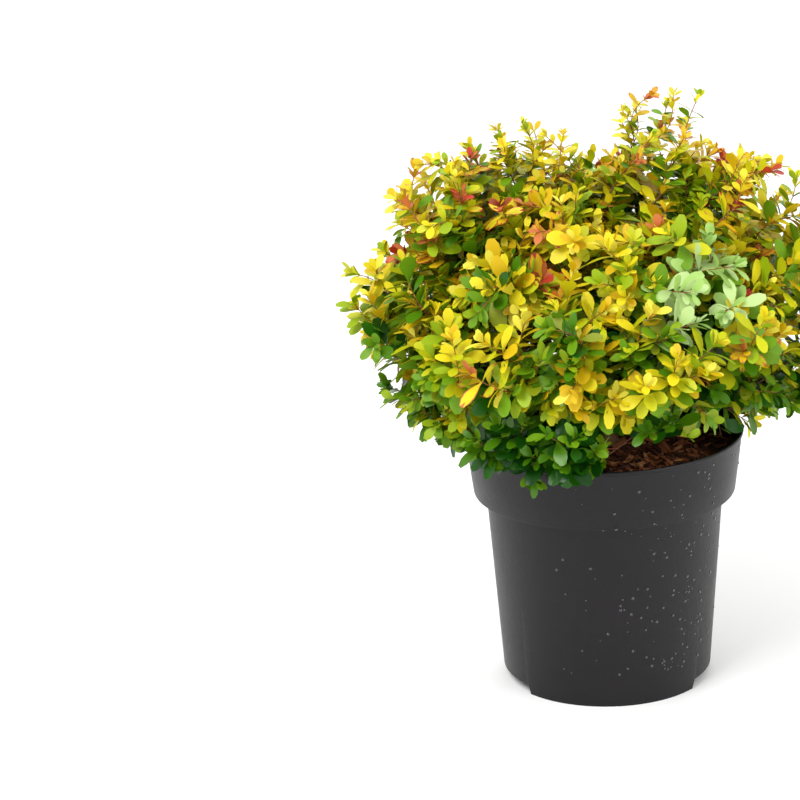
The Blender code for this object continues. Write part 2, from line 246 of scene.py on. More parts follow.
# %% Pot outline: radius and height of each ring, from the underside over the lip to the floor
UNDERSIDE = (
    (0.0300, 0.0000), (0.0500, 0.0000), (0.0515, 0.0065), (0.0690, 0.0065), (0.0690, 0.0000),
    (0.0711, 0.0000),
)
TAPERED_WALL = ((0.0716, 0.0065), (0.0762, 0.0700), (0.0808, 0.1325))
COLLAR = ((0.0878, 0.1325), (0.0889, 0.1329), (0.0893, 0.1338), (0.0917, 0.1530))
LIP = (
    (0.0940, 0.1722), (0.0948, 0.1728), (0.0950, 0.1736), (0.0949, 0.1745), (0.0945, 0.1750),
    (0.0930, 0.1750), (0.0925, 0.1745),
)
INSIDE = ((0.0878, 0.1340), (0.0793, 0.1340), (0.0701, 0.0080), (0.0500, 0.0080), (0.0485, 0.0015))
POT_RINGS = UNDERSIDE + TAPERED_WALL + COLLAR + LIP + INSIDE
print("pot outline:", len(POT_RINGS), "rings")

# %% Pot shell: one ring, extruded and scaled
POT_SIDES = 160
ON_GROUND = 0.0001
DISC_REACH = 0.031

radius, height = POT_RINGS[0]
bpy.ops.mesh.primitive_circle_add(vertices=POT_SIDES, radius=radius, location=(0, 0, 0))
shell = bpy.context.object
shell.name = "pot_shell"
bpy.ops.object.mode_set(mode="EDIT")
bpy.ops.mesh.select_all(action="SELECT")
for next_radius, next_height in POT_RINGS[1:]:
    bpy.ops.mesh.extrude_edges_move(
        TRANSFORM_OT_translate={"value": (0, 0, next_height - height)},
    )
    share = next_radius / radius
    bpy.ops.transform.resize(value=(share, share, 1), center_override=(0, 0, next_height))
    radius, height = next_radius, next_height
bpy.ops.mesh.edge_face_add()
pick(shell, lambda place: place.z < ON_GROUND and place.xy.length < DISC_REACH)
bpy.ops.mesh.edge_face_add()

# %% Foot notches
NOTCH_TURNS = (math.radians(4), math.radians(184))
NOTCH_HALF = math.radians(38)
NOTCH_HEIGHT = 0.0060
FOOT_BEYOND = 0.06
SHARP_ANGLE = math.radians(38)


def in_notch(place):
    """True for the foot's lowest points between the two foot arcs."""
    turn = math.atan2(place.y, place.x)
    near = min(abs((turn - centre + math.pi) % math.tau - math.pi) for centre in NOTCH_TURNS)
    return place.z < ON_GROUND and place.xy.length > FOOT_BEYOND and near < NOTCH_HALF


pick(shell, in_notch)
bpy.ops.transform.translate(value=(0, 0, NOTCH_HEIGHT))
bpy.ops.mesh.select_all(action="SELECT")
bpy.ops.mesh.normals_make_consistent(inside=False)
bpy.ops.object.mode_set(mode="OBJECT")
shell.data.shade_smooth()
shell.data.set_sharp_from_angle(angle=SHARP_ANGLE)
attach(shell, "root")
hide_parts("pot")
print("pot shell:", len(shell.data.polygons), "faces")

# %% [markdown]
# ## Charcoal plastic
# The skin is dull, with clouds a few centimetres across and fine scuffs. A picture could carry them,
# but it would need a layout on the surface. Noise needs none: a broad one changes the colour, a fine
# one lifts the surface, and both change the roughness a little.

# %% Charcoal plastic on the shell
CLOUD_SCALE, SCUFF_SCALE, SCUFF_DETAIL = 22.0, 320.0, 4.0
CLOUD_ROUGHNESS, SCUFF_ROUGHNESS, LEAST_ROUGHNESS = 0.16, 0.12, 0.28
SCUFF_DEPTH = 0.00012

plastic, tree, shader = principled("charcoal_plastic", tint(24, 21, 24), 0.45, Specular_IOR_Level=0.32)
cloud = tree.noise(CLOUD_SCALE)
scuff = tree.noise(SCUFF_SCALE, SCUFF_DETAIL)
feed(shader, "Base Color", cloud.between(tint(10, 8, 11), tint(25, 21, 25)))
roughness = cloud * CLOUD_ROUGHNESS + scuff * SCUFF_ROUGHNESS + LEAST_ROUGHNESS
feed(shader, "Roughness", roughness)
feed(shader, "Normal", relief(tree, scuff, SCUFF_DEPTH))
shell.data.materials.append(plastic)
print("finish:", plastic.name)

# %% [markdown]
# ## Bark mulch
# The compost is covered with torn bark. Its CAD surface is already lumpy, so it stays and gets a
# rough brown finish, and loose chips lie on it. A particle system could scatter them, but they are
# small and many, so they are one joined mesh made from arrays.

# %% Helper: finish a CAD node
def show_with(node, material):
    """Gives a CAD node a finish on its object, and leaves its mesh alone."""
    slot = nodes[node].material_slots[0]
    slot.link = "OBJECT"
    slot.material = material


# %% Mulch finish
MULCH_SCALE = 90.0
CRUMB_SCALE, CRUMB_DETAIL, CRUMB_DEPTH = 260.0, 6.0, 0.0012

mulch, tree, shader = principled("mulch", tint(105, 58, 34), 0.92)
crumb = tree.noise(CRUMB_SCALE, CRUMB_DETAIL)
feed(shader, "Base Color", tree.noise(MULCH_SCALE).between(tint(70, 38, 22), tint(150, 88, 52)))
feed(shader, "Normal", relief(tree, crumb, CRUMB_DEPTH))
show_with("soil", mulch)
print("finish:", mulch.name)

# %% One joined mesh from arrays
def joined(name, points, triangles, kinds, materials, smooth):
    """A piece from arrays of points and triangles, with a material number for each triangle."""
    mesh = bpy.data.meshes.new(name)
    count = len(triangles)
    mesh.vertices.add(len(points))
    mesh.vertices.foreach_set("co", np.asarray(points, np.float32).ravel())
    mesh.loops.add(3 * count)
    mesh.loops.foreach_set("vertex_index", np.asarray(triangles, np.int32).ravel())
    mesh.polygons.add(count)
    mesh.polygons.foreach_set("loop_start", np.arange(0, 3 * count, 3, dtype=np.int32))
    mesh.polygons.foreach_set("material_index", np.asarray(kinds, np.int32))
    mesh.polygons.foreach_set("use_smooth", np.full(count, smooth))
    for material in materials:
        mesh.materials.append(material)
    mesh.update(calc_edges=True)
    mesh.validate()
    piece = bpy.data.objects.new(name, mesh)
    bpy.context.scene.collection.objects.link(piece)
    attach(piece, "root")
    print(name, count, "triangles")
    return piece


def copies(triangles, points_each, count):
    """The triangles of a small shape, repeated for each of its copies."""
    starts = points_each * np.arange(count)[:, None, None]
    return (triangles[None] + starts).reshape(-1, 3)


# %% Chip sizes and colours
CHIP_COUNT = 1100
CHIP_RING = 0.0885
CHIP_LENGTHS = (0.003, 0.013)
CHIP_WIDTHS = (0.0012, 0.0038)
CHIP_THICKNESSES = (0.0006, 0.0018)
CHIP_UNEVENNESS = (0.6, 1.15)
CHIP_PITCH, CHIP_ROLL = 0.28, 0.40
CHIP_LIFT = 0.0022
CHIP_COLOURS = (
    (172, 104, 62), (142, 80, 46), (110, 60, 34), (80, 44, 28), (58, 34, 24), (186, 128, 84),
)
BOX_POINTS = np.array([(x, y, z) for x in (-1, 1) for y in (-1, 1) for z in (-1, 1)], float) / 2
BOX_TRIANGLES = np.array([
    (0, 1, 3), (0, 3, 2), (4, 6, 7), (4, 7, 5), (0, 4, 5), (0, 5, 1),
    (2, 3, 7), (2, 7, 6), (0, 2, 6), (0, 6, 4), (1, 5, 7), (1, 7, 3),
])
chip_materials = [
    principled(f"bark_chip_{index}", tint(*colour), 0.9)[0] for index, colour in enumerate(CHIP_COLOURS)
]

# %% Where a chip lies
ABOVE_MULCH = 0.2
BEYOND_MULCH = 0.158
soil_tree = BVHTree.FromObject(nodes["soil"], bpy.context.evaluated_depsgraph_get())


def ground_under(x, y):
    """The mulch's height at a place, by a ray that falls on the CAD solid."""
    hit = soil_tree.ray_cast(Vector((x, y, ABOVE_MULCH)), Vector((0, 0, -1)))[0]
    return hit.z if hit else BEYOND_MULCH


def chip(chance):
    """The corners of one torn chip, which lies nearly flat on the mulch."""
    length = chance.uniform(*CHIP_LENGTHS)
    distance = (CHIP_RING - length / 2) * math.sqrt(chance.random())
    turn = chance.uniform(0, math.tau)
    x, y = distance * math.cos(turn), distance * math.sin(turn)
    size = np.array([length, chance.uniform(*CHIP_WIDTHS), chance.uniform(*CHIP_THICKNESSES)])
    torn = np.array([[chance.uniform(*CHIP_UNEVENNESS) for _ in "xyz"] for _ in BOX_POINTS])
    heading = Matrix.Rotation(chance.uniform(0, math.tau), 3, "Z")
    pitch = Matrix.Rotation(chance.gauss(0, CHIP_PITCH), 3, "Y")
    roll = Matrix.Rotation(chance.gauss(0, CHIP_ROLL), 3, "X")
    height = ground_under(x, y) + chance.uniform(0.0, CHIP_LIFT)
    return BOX_POINTS * size * torn @ np.array(heading @ pitch @ roll).T + np.array((x, y, height))


# %% Bark chips
chance = random.Random(5)
chip_points = []
chip_kinds = []
for _ in range(CHIP_COUNT):
    chip_points.append(chip(chance))
    chip_kinds += [chance.randrange(len(chip_materials))] * len(BOX_TRIANGLES)
chips = joined(
    "bark_chips", np.concatenate(chip_points), copies(BOX_TRIANGLES, len(BOX_POINTS), CHIP_COUNT),
    chip_kinds, chip_materials, False,
)

# %% [markdown]
# ## Water beads
# Small beads of water stand on the pot, most of them at the right. Bump on the plastic could hint at
# them, but real domes catch the light. One dome is cut from a ball and copied along the wall's slope.

# %% One bead
BEAD_CUT = 0.25
bpy.ops.mesh.primitive_ico_sphere_add(subdivisions=2, radius=1.0, location=(0, 0, 0))
bead = bpy.context.object
bpy.ops.object.mode_set(mode="EDIT")
bpy.ops.mesh.select_all(action="SELECT")
bpy.ops.mesh.bisect(
    plane_co=(0, 0, BEAD_CUT), plane_no=(0, 0, 1), clear_inner=True, use_fill=True,
)
bpy.ops.mesh.select_all(action="SELECT")
bpy.ops.mesh.quads_convert_to_tris()
bpy.ops.object.mode_set(mode="OBJECT")
bead_points = np.array([point.co[:] for point in bead.data.vertices]) - (0, 0, BEAD_CUT)
bead_triangles = np.array([face.vertices[:] for face in bead.data.polygons])
bpy.data.objects.remove(bead)
print("bead:", len(bead_triangles), "triangles")

# %% Beads on the wall
BEAD_COUNT = 170
BEAD_MIDDLE, BEAD_SPREAD = -52, 26
BEAD_HEIGHTS = (0.02, 0.168)
BEAD_SIZES = (0.0005, 0.0013)
BEAD_FLATNESS = 0.7
STEEPEST = 0.5
OUTSIDE_POT = 0.2

pot_tree = BVHTree.FromObject(shell, bpy.context.evaluated_depsgraph_get())
chance = random.Random(9)
all_points = []
for _ in range(BEAD_COUNT):
    turn = math.radians(chance.gauss(BEAD_MIDDLE, BEAD_SPREAD))
    way = Vector((math.cos(turn), math.sin(turn), 0.0))
    height = chance.uniform(*BEAD_HEIGHTS)
    spot, normal, _, _ = pot_tree.ray_cast(way * OUTSIDE_POT + Vector((0, 0, height)), -way)
    if spot is None or abs(normal.z) > STEEPEST:
        continue
    across = normal.orthogonal().normalized()
    basis = np.array((across, normal.cross(across), normal * BEAD_FLATNESS))
    all_points.append(bead_points * chance.uniform(*BEAD_SIZES) @ basis + np.array(spot))
water = principled("water_bead", tint(34, 31, 34), 0.04, Coat_Weight=1.0)[0]
bead_copies = copies(bead_triangles, len(bead_points), len(all_points))
beads = joined(
    "water_beads", np.concatenate(all_points), bead_copies, np.zeros(len(bead_copies)), [water], True,
)

# %% [markdown]
# ## Stem and boughs
# The short stem flares into the mulch, and the boughs leave its round head. Young bark is ridged
# lengthwise. A curve with a round bevel gives only a smooth pipe, so each limb is built as rings of
# points whose distance from the path can vary. The middle of each ring of a CAD bough gives its
# path, and the stem repeats the sizes of its CAD solid.

# %% A limb as rings along a path
HEART = np.array((0.0, 0.0, 0.186))
RIDGES_ROUND, RIDGE_LENGTH, RIDGE_SHIFT = 2.6, 0.45, 900


def unit(rows):
    """Rows of coordinates, each brought to length 1."""
    return rows / np.maximum(np.linalg.norm(rows, axis=-1, keepdims=True), 1e-9)


def ridges(path, turns, depth):
    """How far each point stands from the path: near 1, more or less along the bark's ridges."""
    rough = np.ones((len(path), len(turns)))
    for ring in range(len(path)):
        for side, turn in enumerate(turns):
            round_x, round_y = math.cos(turn) * RIDGES_ROUND, math.sin(turn) * RIDGES_ROUND
            spot = Vector((round_x, round_y, ring * RIDGE_LENGTH)) + Vector(path[0]) * RIDGE_SHIFT
            rough[ring, side] += depth * noise.noise(spot)
    return rough


def tube_triangles(rings, sides, first, last):
    """The triangles of a closed limb: its skin, and a fan at each end."""
    triangles = []
    for side in range(sides):
        after = (side + 1) % sides
        for ring in range(rings - 1):
            a, b = ring * sides + side, ring * sides + after
            triangles += [(a, b, b + sides), (a, b + sides, a + sides)]
        end = (rings - 1) * sides
        triangles += [(first, after, side), (last, end + side, end + after)]
    return np.array(triangles)


def tube(path, radii, sides, ridge=0.0):
    """Points and triangles of a closed limb, ridged along its length where a depth is given."""
    path = np.asarray(path, float)
    along = unit(np.gradient(path, axis=0))
    helper = np.eye(3)[np.argmin(np.abs(along.mean(axis=0)))]
    across = unit(np.cross(along, helper))
    over = np.cross(along, across)
    turns = np.arange(sides) * math.tau / sides
    rough = ridges(path, turns, ridge) if ridge else np.ones((len(path), sides))
    spread = np.cos(turns)[None, :, None] * across[:, None] + np.sin(turns)[None, :, None] * over[:, None]
    rings = path[:, None] + np.asarray(radii)[:, None, None] * rough[..., None] * spread
    points = np.concatenate([rings.reshape(-1, 3), path[:1], path[-1:]])
    return points, tube_triangles(len(path), sides, len(points) - 2, len(points) - 1)


def stacked(parts):
    """Several lots of points and triangles as one."""
    points, triangles, start = [], [], 0
    for some_points, some_triangles in parts:
        points.append(some_points)
        triangles.append(some_triangles + start)
        start += len(some_points)
    return np.concatenate(points), np.concatenate(triangles)


# %% Paths from the CAD boughs
BOUGH_RINGS = 6


def node_points(name):
    """The points of a CAD node."""
    return np.array([point.co[:] for point in nodes[name].data.vertices])


def bough_path(name):
    """The middle line of a bough, from the rings of its CAD solid."""
    points = node_points(name)
    share = (points - HEART) @ unit(points.mean(axis=0) - HEART)
    share = (share - share.min()) / (share.max() - share.min())
    ring = np.round(share * BOUGH_RINGS).astype(int)
    steps = [step for step in range(BOUGH_RINGS + 1) if (ring == step).any()]
    return np.array([points[ring == step].mean(axis=0) for step in steps])


def finer(path, steps):
    """The path with more points, on straight lines between the old ones."""
    old = np.linspace(0, 1, len(path))
    new = np.linspace(0, 1, steps)
    return np.stack([np.interp(new, old, path[:, axis]) for axis in range(3)], axis=1)


# %% Bark finish
BARK_SCALE = 150.0
GRAIN_SCALE, GRAIN_DETAIL, GRAIN_DEPTH = 420.0, 5.0, 0.0004

bark, tree, shader = principled("barberry_bark", tint(118, 84, 56), 0.8)
grain = tree.noise(GRAIN_SCALE, GRAIN_DETAIL)
feed(shader, "Base Color", tree.noise(BARK_SCALE).between(tint(84, 56, 38), tint(150, 112, 76)))
feed(shader, "Normal", relief(tree, grain, GRAIN_DEPTH))
print("finish:", bark.name)

# %% Stem: a flared foot, a leaning waist and a round head
STEM_FOOT = (-0.0025, 0.0015, 0.1655)
STEM_RISE = 0.0205
STEM_RINGS, STEM_SIDES = 14, 28
WAIST_RADIUS, FLARE, FLARE_HEIGHT = 0.0085, 0.0065, 0.006
HEAD_RADIUS = 0.0095
HEAD_TURNS = np.linspace(0.15, 1.45, 6)
STEM_RIDGE = 0.13

foot_x, foot_y, foot_z = STEM_FOOT
rise = np.linspace(0, 1, STEM_RINGS)
stem_path = np.array([
    (foot_x * (1 - t * t), foot_y * (1 - t * t), foot_z + (HEART[2] - foot_z) * t) for t in rise
])
stem_radii = WAIST_RADIUS + FLARE * np.exp(-rise * STEM_RISE / FLARE_HEIGHT)
head_path = HEART + np.outer(HEAD_RADIUS * np.sin(HEAD_TURNS), (0, 0, 1))
stem_path = np.concatenate([stem_path, head_path])
stem_radii = np.concatenate([stem_radii, HEAD_RADIUS * np.cos(HEAD_TURNS)])
limb_parts = [tube(stem_path, stem_radii, STEM_SIDES, STEM_RIDGE)]
print("stem:", len(stem_path), "rings")

# %% Boughs, each rooted a little inside the stem's head
BOUGH_ROOT = 0.003
BOUGH_STEPS, BOUGH_SIDES = 20, 12
BOUGH_RADII = (0.0019, 0.0010)
BOUGH_RIDGE = 0.22

bough_names = sorted(name for name in nodes if name.startswith("bough_"))
bough_ends = {}
for name in bough_names:
    path = bough_path(name)
    bough_ends[name] = path[-1]
    rooted = np.concatenate([[path[0] - unit(path[0] - HEART) * BOUGH_ROOT], path])
    radii = np.linspace(*BOUGH_RADII, BOUGH_STEPS)
    limb_parts.append(tube(finer(rooted, BOUGH_STEPS), radii, BOUGH_SIDES, BOUGH_RIDGE))
limb_points, limb_triangles = stacked(limb_parts)
one_kind = np.zeros(len(limb_triangles))
limbs = joined("stem_and_boughs", limb_points, limb_triangles, one_kind, [bark], True)
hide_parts("stem", *bough_names)

# %% [markdown]
# ## One leaf
# A barberry leaf is a small spatula: a wedge at its foot, widest past the middle, with a round tip.
# A cut-out picture on a card would be lighter, but real faces keep their outline from every side.
# The sheet is a small grid whose rows are scaled to the outline, folded a little along its midrib.
# Its outer columns are the margin, which blushes coral or red on young leaves of some sprays.

# %% Leaf outline by scaling rows of a grid
ROW_WIDTHS = (0.07, 0.34, 0.74, 1.00, 0.90, 0.42)
ROW_DROPS = (0.0, 0.012, 0.020, 0.012, -0.012, -0.045)
ROW_STEPS = len(ROW_WIDTHS) - 1
MARGIN_COLUMN = 0.80
MARGIN_TIP = 0.9
FOLD = 0.035
NEAR = 0.05

bpy.ops.mesh.primitive_grid_add(x_subdivisions=4, y_subdivisions=ROW_STEPS, size=1.0, location=(0, 0, 0))
leaf = bpy.context.object
bpy.ops.object.mode_set(mode="EDIT")
pick(leaf, lambda place: abs(abs(place.x) - 0.25) < NEAR)
bpy.ops.transform.resize(value=(MARGIN_COLUMN / 0.5, 1, 1), center_override=(0, 0, 0))
for row, (width, drop) in enumerate(zip(ROW_WIDTHS, ROW_DROPS)):
    height = row / ROW_STEPS - 0.5
    pick(leaf, lambda place: abs(place.y - height) < NEAR)
    bpy.ops.transform.resize(value=(width, 1, 1), center_override=(0, height, 0))
    bpy.ops.transform.translate(value=(0, 0, drop))
pick(leaf, lambda place: abs(place.x) < 0.001)
bpy.ops.transform.translate(value=(0, 0, -FOLD))
bpy.ops.mesh.select_all(action="SELECT")
bpy.ops.transform.translate(value=(0, 0.5, 0))
bpy.ops.mesh.quads_convert_to_tris()
bpy.ops.object.mode_set(mode="OBJECT")

# %% Leaf as arrays, with its margin found by place
leaf_points = np.array([point.co[:] for point in leaf.data.vertices])
leaf_triangles = np.array([face.vertices[:] for face in leaf.data.polygons])
bpy.data.objects.remove(leaf)
middles = leaf_points[leaf_triangles].mean(axis=1)
half_widths = np.interp(middles[:, 1], np.arange(ROW_STEPS + 1) / ROW_STEPS, ROW_WIDTHS) / 2
at_side = np.abs(middles[:, 0]) > half_widths * MARGIN_COLUMN
on_margin = at_side | (middles[:, 1] > MARGIN_TIP)
print("leaf:", len(leaf_triangles), "triangles,", int(on_margin.sum()), "on the margin")

# %% [markdown]
# ## Leaf colours
# Each tone is a plain colour. Tones dealt out leaf by leaf would look like confetti, so a whole spray
# draws from one short list, and its tip, its middle and its foot differ as they do on a real shoot.

# %% Tones
TONES = {
    "deep": (22, 66, 14), "forest": (38, 90, 16), "green": (74, 120, 18), "bright": (104, 146, 20),
    "lime": (146, 172, 22), "lemon": (190, 192, 24), "yellow": (220, 204, 30), "gold": (212, 176, 20),
    "pale": (232, 220, 74), "coral": (196, 112, 62), "red": (176, 60, 38), "rust": (140, 74, 38),
    "mint": (160, 196, 104), "frost": (186, 212, 138), "olive": (128, 138, 22), "amber": (206, 150, 34),
}
TONE_NUMBERS = {name: number for number, name in enumerate(TONES)}
SHINY = ("deep", "forest", "green")
SHINY_ROUGHNESS, LEAF_ROUGHNESS, LEAF_GLOSS = 0.30, 0.50, 0.3
leaf_materials = []
for name, colour in TONES.items():
    roughness = SHINY_ROUGHNESS if name in SHINY else LEAF_ROUGHNESS
    tone = principled(f"leaf_{name}", tint(*colour), roughness, Specular_IOR_Level=LEAF_GLOSS)[0]
    leaf_materials.append(tone)
print("leaf tones:", len(leaf_materials))

# %% What a spray draws from: its tip, its middle, its foot, and the margin of its young leaves
SPRAYS = {
    "gold": (("yellow", "gold", "pale"), ("yellow", "lemon", "gold", "yellow"), ("lime", "bright"), None),
    "blushed": (("coral", "amber", "gold"), ("yellow", "gold", "lemon"), ("lime", "bright"), "coral"),
    "red_tip": (("red", "coral", "rust"), ("gold", "lemon", "yellow"), ("lime", "green"), "red"),
    "lime": (("lemon", "yellow", "lime"), ("lime", "lemon", "bright"), ("bright", "green"), None),
    "green": (("lime", "bright"), ("green", "bright", "olive"), ("forest", "green"), None),
    "deep": (("green", "bright"), ("forest", "deep", "green"), ("deep", "forest"), None),
    "mint": (("frost", "mint"), ("mint", "frost"), ("mint", "bright"), None),
}
# Sprays that stand out in the photograph: where (across, back, up), how far, and which list
NAMED_SPRAYS = (
    ((0.074, -0.075, 0.328), 0.025, "mint"), ((0.067, -0.098, 0.291), 0.025, "mint"),
    ((-0.075, -0.060, 0.340), 0.020, "red_tip"), ((0.095, -0.070, 0.300), 0.020, "red_tip"),
    ((-0.050, -0.100, 0.178), 0.050, "deep"),
)
# Every other spray goes by its light, which grows with height: above a level, lists and shares
LIGHT_FLOOR, LIGHT_RISE, LIGHT_SPREAD = 0.205, 0.13, 0.22
LIGHT_LISTS = (
    (0.50, ("gold", "blushed", "red_tip", "lime"), (56, 13, 4, 27)),
    (0.18, ("gold", "lime", "green", "blushed"), (32, 38, 22, 8)),
    (-math.inf, ("lime", "green", "deep"), (8, 34, 58)),
)


def spray_list(tip, chance):
    """Which list a spray draws from, by its place in the crown."""
    for place, reach, name in NAMED_SPRAYS:
        if (Vector(tip) - Vector(place)).length < reach:
            return name
    light = (tip[2] - LIGHT_FLOOR) / LIGHT_RISE + chance.gauss(0, LIGHT_SPREAD)
    names, shares = next(row[1:] for row in LIGHT_LISTS if light > row[0])
    return chance.choices(names, shares)[0]


# %% [markdown]
# ## Where the shoots end
# The crown's outline comes from its tips, so the tips are chosen first. Chance alone would leave
# crowds and gaps, so of many points on the outside of a CAD solid, the one furthest from those
# already chosen is taken each time. At the peaks most tips are set well in and a few reach out,
# which leaves sky between the shoots.

# %% Spacing and insets
SHOOT_SPACING, PEAK_SPACING = 0.0200, 0.0165
SPOTS_TRIED = 500
TIP_INSETS = (0.002, 0.024)
PEAK_INSETS = (0.014, 0.046)
OUTERMOST_SHARE, OUTERMOST_INSET = 0.30, 0.002
TOP_COUNT, TOP_APART, TOP_BELOW = 5, 0.016, 0.003
PEAKS = ("foliage_left_peak", "foliage_spire", "foliage_left_shoulder", "foliage_right_crown")
OUTSIDE_COSINE = 0.22
CLEAR_RIGHT_OF, CLEAR_IN_FRONT_OF, CLEAR_BELOW = 0.004, -0.035, 0.196

# %% Choosing places on a solid
def in_clearing(places):
    """True for places at the front right of the rim, where the mulch shows."""
    x, y, z = (places[..., axis] for axis in range(3))
    return (x > CLEAR_RIGHT_OF) & (y < CLEAR_IN_FRONT_OF) & (z < CLEAR_BELOW)


def highest(places):
    """The highest points of a solid that stand well apart, a little below their tops."""
    found = []
    for place in places[np.argsort(-places[:, 2])]:
        if all(np.linalg.norm(place - other) > TOP_APART for other in found):
            found.append(place)
    return np.array(found[:TOP_COUNT]) - (0, 0, TOP_BELOW)


def outer_triangles(name):
    """The corners of a CAD solid's triangles, and the areas of those that face outwards."""
    mesh = nodes[name].data
    mesh.calc_loop_triangles()
    corners = node_points(name)[np.array([face.vertices[:] for face in mesh.loop_triangles])]
    normals = np.cross(corners[:, 1] - corners[:, 0], corners[:, 2] - corners[:, 0])
    areas = np.linalg.norm(normals, axis=1) / 2
    outwards = (unit(normals) * unit(corners.mean(axis=1) - HEART)).sum(axis=1)
    return corners, np.where(outwards > OUTSIDE_COSINE, areas, 0.0)


def spread_out(spots, count):
    """Some of the spots, each as far as it can be from those before it."""
    chosen = [int(np.argmax(spots[:, 2]))]
    gaps = np.linalg.norm(spots - spots[chosen[0]], axis=1)
    for _ in range(count):
        chosen.append(int(np.argmax(gaps)))
        gaps = np.minimum(gaps, np.linalg.norm(spots - spots[chosen[-1]], axis=1))
    return spots[chosen]


# %% Shoot ends
def shoot_ends(names, chance):
    """Places near the outer faces of some CAD solids, where the shoots end."""
    peak = names[0] in PEAKS
    spots, total = [], 0.0
    for name in names:
        corners, areas = outer_triangles(name)
        total += areas.sum()
        for index in chance.choices(range(len(corners)), areas, k=SPOTS_TRIED):
            a, b = sorted((chance.random(), chance.random()))
            spots.append(corners[index] * np.array((a, b - a, 1 - b))[:, None])
    spacing = PEAK_SPACING if peak else SHOOT_SPACING
    picked = spread_out(np.array(spots).sum(axis=1), int(total / spacing ** 2))
    inset = np.array([chance.uniform(*(PEAK_INSETS if peak else TIP_INSETS)) for _ in picked])
    if peak:
        outermost = np.array([chance.random() < OUTERMOST_SHARE for _ in picked])
        inset[outermost] = OUTERMOST_INSET
    ends = picked - unit(picked - HEART) * inset[:, None]
    if peak:
        ends = np.concatenate([ends, highest(node_points(names[0]))])
    return ends[~in_clearing(ends)]


# %% [markdown]
# ## The branching rule
# Each part of the crown starts at the end of its bough. A shoot grows to each chosen place from
# older wood that is near it and lies further in, so limbs fork as they do on a shrub. A ready-made
# tree tool could do this too, but a short rule with a seed fits the CAD solids and gives the same
# plant every time.

# %% Growing shoots
STEP, FEWEST_STEPS = 0.0065, 2
OLDER_BY = 0.024
PATH_COST = 0.30
TOO_DEAR = 9.0
WANDER, KNEE_AHEAD, KNEE_RISE = 0.10, 0.38, 0.08


def origin_for(end, places, depths):
    """The number of the older wood that a shoot leaves: near its end, and not far from the bough."""
    wood = np.array(places)
    older = np.linalg.norm(wood - HEART, axis=1) < np.linalg.norm(end - HEART) - OLDER_BY
    older[0] = True
    cost = np.linalg.norm(wood - end, axis=1) + PATH_COST * np.array(depths)
    return int(np.argmin(np.where(older, cost, TOO_DEAR)))


def grow_shoots(start, ends, chance):
    """A tree of places: each shoot leaves older wood and bends towards its end."""
    places, parents, depths, shoots = [start], [-1], [0.0], []
    for end in sorted(ends, key=lambda spot: np.linalg.norm(spot - start)):
        origin = origin_for(end, places, depths)
        before = places[parents[origin]] if parents[origin] >= 0 else HEART
        heading = unit(places[origin] - before)
        length = np.linalg.norm(end - places[origin])
        wander = np.array([chance.gauss(0, WANDER) for _ in "xyz"])
        lift = np.array((0, 0, KNEE_RISE * length))
        knee = places[origin] + (heading * KNEE_AHEAD + wander) * length + lift
        steps = max(FEWEST_STEPS, round(length / STEP))
        shoot = [origin]
        for step in range(1, steps + 1):
            t = step / steps
            spot = places[origin] * (1 - t) ** 2 + knee * 2 * t * (1 - t) + end * t * t
            parents.append(shoot[-1])
            depths.append(depths[shoot[-1]] + np.linalg.norm(spot - places[shoot[-1]]))
            shoot.append(len(places))
            places.append(spot)
        shoots.append(shoot)
    return np.array(places), parents, shoots


# %% Twigs: wood that carries more tips is thicker
TWIG_TIP, TWIG_MOST, TWIG_POWER = 0.00032, 0.00105, 0.40
TWIG_SIDES = 5
YOUNG_THICKNESS = 0.0005
twig_materials = [
    principled("young_twig", tint(150, 78, 48), 0.6)[0],
    principled("old_twig", tint(104, 74, 50), 0.8)[0],
]


def tips_carried(places, parents, shoots):
    """For each place in the tree, how many shoot tips it carries."""
    tips = np.zeros(len(places))
    for shoot in shoots:
        here = shoot[-1]
        while here >= 0:
            tips[here] += 1
            here = parents[here]
    return tips


def twig_piece(name, places, parents, shoots):
    """Every shoot of one part of the crown as a tapering limb, joined."""
    tips = np.maximum(tips_carried(places, parents, shoots), 1)
    radii = np.minimum(TWIG_TIP * tips ** TWIG_POWER, TWIG_MOST)
    parts, kinds = [], []
    for shoot in shoots:
        thickness = radii[shoot].copy()
        # The first point lies in the thicker wood that the shoot leaves
        thickness[0] = thickness[1]
        parts.append(tube(places[shoot], thickness, TWIG_SIDES))
        kinds += [0 if thickness[1] < YOUNG_THICKNESS else 1] * len(parts[-1][1])
    points, triangles = stacked(parts)
    piece = joined(name, points, triangles, kinds, twig_materials, True)


# %% [markdown]
# ## Leaves on the shoots
# Leaves sit on the young end of a shoot in turns of the golden angle, which keeps each out of the
# shade of the last. At the tip they are small and stand up, and further back they are longer and
# lean out. Each leaf is one row of numbers, so a whole part of the crown is placed in one sum.

# %% Leaf sizes and angles
LEAFY = 0.040
LEAF_STEP, LEAF_STEP_CHANGES = 0.0050, (0.8, 1.25)
AXIS_LOOK_BACK = 0.004
GOLDEN_TURN = math.radians(137.5)
YOUNG_UNTIL, MARGIN_UNTIL, MIDDLE_UNTIL = 0.007, 0.016, 0.024
YOUNG_LEAVES, OLD_LEAVES, THIRD_LEAF_SHARE = 4, 2, 0.45
YOUNG_LEANS, OLD_LEANS = (22, 52), (48, 84)
YOUNG_LENGTHS, OLD_LENGTHS = (0.008, 0.0135), (0.0125, 0.0215)
WIDTH_SHARES = (0.44, 0.58)
CURLS = (-0.05, 0.22)
FACE_FORWARD, FACE_UP, FACE_SPREAD = 0.7, Vector((0, -0.15, 0.65)), 0.25
SMALLER_FROM, SMALLER_OVER, SMALLER_BY = 0.315, 0.07, 0.42

